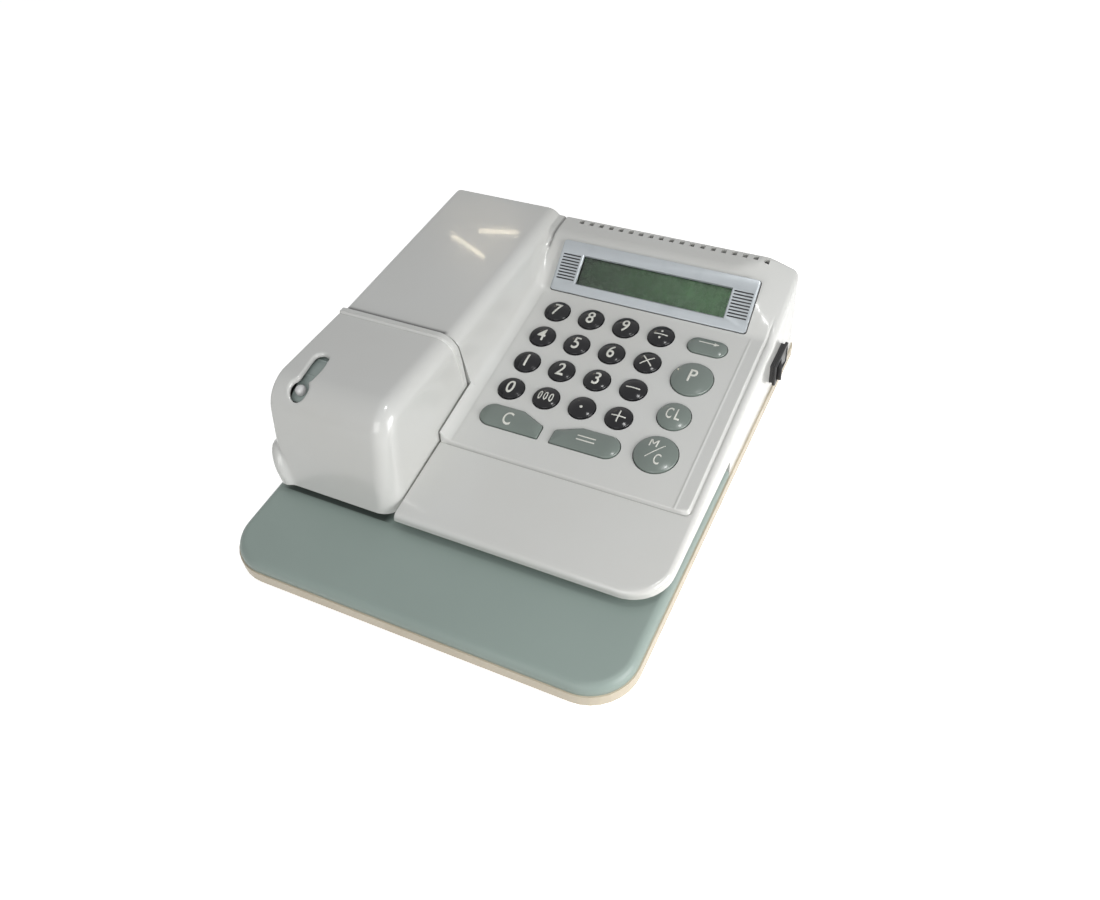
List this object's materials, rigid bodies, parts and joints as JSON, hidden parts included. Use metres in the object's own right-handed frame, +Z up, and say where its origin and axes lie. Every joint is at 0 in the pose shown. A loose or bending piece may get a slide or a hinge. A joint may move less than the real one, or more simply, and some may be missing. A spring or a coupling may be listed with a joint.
{
  "type": "check writer",
  "caption": "Desk check writer: a keypad and display on a raised case, a hinged roller cover with a release lever, and a table whose throat takes the check.",
  "frame": {"origin": "centre of the overall box at bench level, under the rubber feet", "axes": "+X to the operator's right, +Y to the back of the machine, +Z up"},
  "size_m": [0.2045, 0.238, 0.0673],
  "materials": {
    "base_cream": "satin",
    "table_grey_green": "fine texture",
    "foot_rubber": "matte",
    "screw_steel": "zinc plated",
    "cell_jacket": "gloss",
    "contact_steel": "nickel plated",
    "jack_black": "matte",
    "roof_grey": "matte",
    "case_white": "satin",
    "mat_rubber": "matte",
    "board_green": "solder mask",
    "bezel_silver": "silver lacquer",
    "window_clear": "clear",
    "display_green": "liquid crystal",
    "switch_black": "satin",
    "frame_steel": "galvanised",
    "motor_steel": "plated",
    "coil_copper": "enamelled wire in a steel yoke",
    "shaft_steel": "ground",
    "hammer_steel": "plain",
    "lever_grey": "matte",
    "knob_white": "gloss",
    "roller_rubber": "matte",
    "gear_white": "natural",
    "type_metal": "inked",
    "ink_felt": "inked felt",
    "key_black": "satin",
    "key_grey_green": "satin"
  },
  "bodies": {
    "machine": {"base_tray": "base_cream", "table_plate": "table_grey_green", "rubber_feet": "foot_rubber", "case_screws": "screw_steel", "battery_door": "base_cream", "battery_cells": "cell_jacket", "battery_contacts": "contact_steel", "power_jack": "jack_black", "throat_roof": "roof_grey", "upper_case": "case_white", "key_mat": "mat_rubber", "circuit_board": "board_green", "display_bezel": "bezel_silver", "display_window": "window_clear", "display_module": "display_green", "switch_housing": "switch_black", "print_frame": "frame_steel", "feed_motor": "motor_steel", "print_motor": "motor_steel", "hammer_solenoid": "coil_copper", "hinge_pin": "shaft_steel"},
    "cover": {"roller_cover": "case_white"},
    "rocker": {"switch_rocker": "switch_black"},
    "lever": {"release_lever": "lever_grey", "lever_knob": "knob_white"},
    "pinch": {"pinch_bar": "frame_steel"},
    "pinch_roll": {"pinch_rollers": "roller_rubber"},
    "feed": {"feed_shaft": "shaft_steel", "feed_rollers": "roller_rubber", "feed_gear": "gear_white"},
    "feed_drive": {"feed_pinion": "gear_white"},
    "type": {"type_wheel": "type_metal", "type_shaft": "shaft_steel"},
    "idler": {"idler_gear": "gear_white"},
    "print_drive": {"print_pinion": "gear_white"},
    "ink": {"ink_roller": "ink_felt"},
    "hammer": {"hammer_arm": "hammer_steel"},
    "plunger": {"solenoid_plunger": "shaft_steel"},
    "key_7": {"key_7": "key_black"},
    "key_8": {"key_8": "key_black"},
    "key_9": {"key_9": "key_black"},
    "key_divide": {"key_divide": "key_black"},
    "key_4": {"key_4": "key_black"},
    "key_5": {"key_5": "key_black"},
    "key_6": {"key_6": "key_black"},
    "key_times": {"key_times": "key_black"},
    "key_1": {"key_1": "key_black"},
    "key_2": {"key_2": "key_black"},
    "key_3": {"key_3": "key_black"},
    "key_minus": {"key_minus": "key_black"},
    "key_0": {"key_0": "key_black"},
    "key_000": {"key_000": "key_black"},
    "key_point": {"key_point": "key_black"},
    "key_plus": {"key_plus": "key_black"},
    "key_shift": {"key_shift": "key_grey_green"},
    "key_print": {"key_print": "key_grey_green"},
    "key_clear_line": {"key_clear_line": "key_grey_green"},
    "key_memory": {"key_memory": "key_grey_green"},
    "key_c": {"key_c": "key_grey_green"},
    "key_equals": {"key_equals": "key_grey_green"}
  },
  "joints": [
    {"name": "cover_hinge", "type": "hinge", "parent": "machine", "child": "cover", "pos_m": [-0.06625, 0.0026, 0.0632], "axis": [-1, 0, 0], "range_deg": [0, 85]},
    {"name": "rocker_tilt", "type": "hinge", "parent": "machine", "child": "rocker", "pos_m": [0.09825, 0.084, 0.0215], "axis": [0, 0, 1], "range_deg": [-18, 0]},
    {"name": "lever_swing", "type": "hinge", "parent": "machine", "child": "lever", "pos_m": [-0.08565, -0.0393, 0.026], "axis": [-1, 0, 0], "range_deg": [0, 27]},
    {"name": "pinch_slide", "type": "slide", "parent": "machine", "child": "pinch", "axis": [0, 0, -1], "range_m": [0, 0.00468]},
    {"name": "pinch_spin", "type": "hinge", "parent": "pinch", "child": "pinch_roll", "pos_m": [-0.07825, -0.032, 0.0222], "axis": [0, 1, 0], "continuous": true},
    {"name": "feed_spin", "type": "hinge", "parent": "machine", "child": "feed", "pos_m": [-0.07825, -0.021, 0.009], "axis": [0, 1, 0], "continuous": true},
    {"name": "feed_drive_spin", "type": "hinge", "parent": "machine", "child": "feed_drive", "pos_m": [-0.07825, 0.023, 0.0156], "axis": [0, 1, 0], "continuous": true},
    {"name": "type_spin", "type": "hinge", "parent": "machine", "child": "type", "pos_m": [-0.06225, -0.024, 0.0322], "axis": [1, 0, 0], "continuous": true},
    {"name": "idler_spin", "type": "hinge", "parent": "machine", "child": "idler", "pos_m": [-0.05075, -0.00605, 0.03668], "axis": [1, 0, 0], "continuous": true},
    {"name": "print_drive_spin", "type": "hinge", "parent": "machine", "child": "print_drive", "pos_m": [-0.05075, 0.00036, 0.04694], "axis": [1, 0, 0], "continuous": true},
    {"name": "ink_spin", "type": "hinge", "parent": "machine", "child": "ink", "pos_m": [-0.06225, -0.04108, 0.04653], "axis": [1, 0, 0], "continuous": true},
    {"name": "hammer_swing", "type": "hinge", "parent": "machine", "child": "hammer", "pos_m": [-0.06225, 0.031, 0.0066], "axis": [-1, 0, 0], "range_deg": [0, 4.9], "stiffness_Nm_per_rad": 0.03, "springref_deg": -5.73},
    {"name": "plunger_slide", "type": "slide", "parent": "machine", "child": "plunger", "axis": [0, 0, -1], "range_m": [0, 0.00175]},
    {"name": "key_7_press", "type": "slide", "parent": "machine", "child": "key_7", "axis": [0, 0.1243, -0.9922], "range_m": [0, 0.0015], "stiffness_N_per_m": 300, "springref_m": -0.001},
    {"name": "key_8_press", "type": "slide", "parent": "machine", "child": "key_8", "axis": [0, 0.1243, -0.9922], "range_m": [0, 0.0015], "stiffness_N_per_m": 300, "springref_m": -0.001},
    {"name": "key_9_press", "type": "slide", "parent": "machine", "child": "key_9", "axis": [0, 0.1243, -0.9922], "range_m": [0, 0.0015], "stiffness_N_per_m": 300, "springref_m": -0.001},
    {"name": "key_divide_press", "type": "slide", "parent": "machine", "child": "key_divide", "axis": [0, 0.1243, -0.9922], "range_m": [0, 0.0015], "stiffness_N_per_m": 300, "springref_m": -0.001},
    {"name": "key_4_press", "type": "slide", "parent": "machine", "child": "key_4", "axis": [0, 0.1243, -0.9922], "range_m": [0, 0.0015], "stiffness_N_per_m": 300, "springref_m": -0.001},
    {"name": "key_5_press", "type": "slide", "parent": "machine", "child": "key_5", "axis": [0, 0.1243, -0.9922], "range_m": [0, 0.0015], "stiffness_N_per_m": 300, "springref_m": -0.001},
    {"name": "key_6_press", "type": "slide", "parent": "machine", "child": "key_6", "axis": [0, 0.1243, -0.9922], "range_m": [0, 0.0015], "stiffness_N_per_m": 300, "springref_m": -0.001},
    {"name": "key_times_press", "type": "slide", "parent": "machine", "child": "key_times", "axis": [0, 0.1243, -0.9922], "range_m": [0, 0.0015], "stiffness_N_per_m": 300, "springref_m": -0.001},
    {"name": "key_1_press", "type": "slide", "parent": "machine", "child": "key_1", "axis": [0, 0.1243, -0.9922], "range_m": [0, 0.0015], "stiffness_N_per_m": 300, "springref_m": -0.001},
    {"name": "key_2_press", "type": "slide", "parent": "machine", "child": "key_2", "axis": [0, 0.1243, -0.9922], "range_m": [0, 0.0015], "stiffness_N_per_m": 300, "springref_m": -0.001},
    {"name": "key_3_press", "type": "slide", "parent": "machine", "child": "key_3", "axis": [0, 0.1243, -0.9922], "range_m": [0, 0.0015], "stiffness_N_per_m": 300, "springref_m": -0.001},
    {"name": "key_minus_press", "type": "slide", "parent": "machine", "child": "key_minus", "axis": [0, 0.1243, -0.9922], "range_m": [0, 0.0015], "stiffness_N_per_m": 300, "springref_m": -0.001},
    {"name": "key_0_press", "type": "slide", "parent": "machine", "child": "key_0", "axis": [0, 0.1243, -0.9922], "range_m": [0, 0.0015], "stiffness_N_per_m": 300, "springref_m": -0.001},
    {"name": "key_000_press", "type": "slide", "parent": "machine", "child": "key_000", "axis": [0, 0.1243, -0.9922], "range_m": [0, 0.0015], "stiffness_N_per_m": 300, "springref_m": -0.001},
    {"name": "key_point_press", "type": "slide", "parent": "machine", "child": "key_point", "axis": [0, 0.1243, -0.9922], "range_m": [0, 0.0015], "stiffness_N_per_m": 300, "springref_m": -0.001},
    {"name": "key_plus_press", "type": "slide", "parent": "machine", "child": "key_plus", "axis": [0, 0.1243, -0.9922], "range_m": [0, 0.0015], "stiffness_N_per_m": 300, "springref_m": -0.001},
    {"name": "key_shift_press", "type": "slide", "parent": "machine", "child": "key_shift", "axis": [0, 0.1243, -0.9922], "range_m": [0, 0.0015], "stiffness_N_per_m": 300, "springref_m": -0.001},
    {"name": "key_print_press", "type": "slide", "parent": "machine", "child": "key_print", "axis": [0, 0.1243, -0.9922], "range_m": [0, 0.0015], "stiffness_N_per_m": 300, "springref_m": -0.001},
    {"name": "key_clear_line_press", "type": "slide", "parent": "machine", "child": "key_clear_line", "axis": [0, 0.1243, -0.9922], "range_m": [0, 0.0015], "stiffness_N_per_m": 300, "springref_m": -0.001},
    {"name": "key_memory_press", "type": "slide", "parent": "machine", "child": "key_memory", "axis": [0, 0.1243, -0.9922], "range_m": [0, 0.0015], "stiffness_N_per_m": 300, "springref_m": -0.001},
    {"name": "key_c_press", "type": "slide", "parent": "machine", "child": "key_c", "axis": [0, 0.1243, -0.9922], "range_m": [0, 0.0015], "stiffness_N_per_m": 300, "springref_m": -0.001},
    {"name": "key_equals_press", "type": "slide", "parent": "machine", "child": "key_equals", "axis": [0, 0.1243, -0.9922], "range_m": [0, 0.0015], "stiffness_N_per_m": 300, "springref_m": -0.001}
  ],
  "couplings": [
    {"joint": "pinch_slide", "follows": "lever_swing", "m_per_rad": 0.009908},
    {"joint": "feed_drive_spin", "follows": "feed_spin", "ratio": -1.1667},
    {"joint": "idler_spin", "follows": "type_spin", "ratio": -1.5556},
    {"joint": "print_drive_spin", "follows": "type_spin", "ratio": 2.3333},
    {"joint": "ink_spin", "follows": "type_spin", "ratio": -1.75},
    {"joint": "plunger_slide", "follows": "hammer_swing", "m_per_rad": 0.02}
  ]
}
